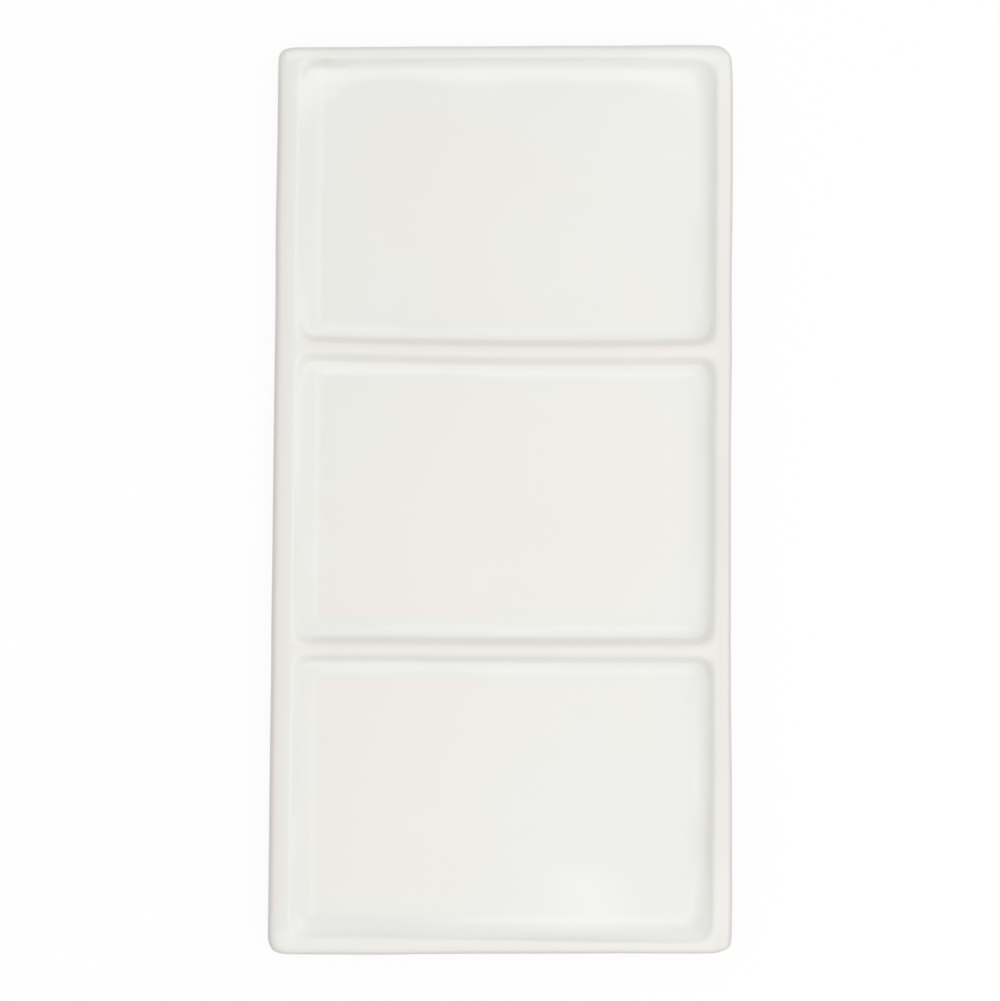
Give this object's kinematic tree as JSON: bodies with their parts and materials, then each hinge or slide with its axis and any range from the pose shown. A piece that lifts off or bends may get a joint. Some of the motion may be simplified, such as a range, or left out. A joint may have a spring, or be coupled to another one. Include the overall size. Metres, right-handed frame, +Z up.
{
  "type": "divided rectangular plate",
  "caption": "Rectangular glazed stoneware serving plate with a low rounded rim and low dividers that part it into equal compartments, on an unglazed foot ring.",
  "frame": {"origin": "middle of the plate's footprint, on the surface that the foot ring stands on", "axes": "+X towards the plate's right side, +Y along its length to the far end, which is at the top of the picture, +Z up"},
  "size_m": [0.1823, 0.356, 0.018],
  "materials": {
    "glazed_stoneware": "glossy white glaze, slightly wavy, with faint warm and cool clouds",
    "bare_stoneware": "unglazed fired clay, dry and finely grained"
  },
  "bodies": {
    "root": {"base_slab": "glazed_stoneware", "rim_near": "glazed_stoneware", "rim_right": "glazed_stoneware", "rim_far": "glazed_stoneware", "rim_left": "glazed_stoneware", "divider_near": "glazed_stoneware", "divider_far": "glazed_stoneware", "seam_coil_near": "glazed_stoneware", "seam_coil_middle": "glazed_stoneware", "seam_coil_far": "glazed_stoneware", "foot_near": "bare_stoneware", "foot_right": "bare_stoneware", "foot_far": "bare_stoneware", "foot_left": "bare_stoneware"}
  },
  "joints": []
}
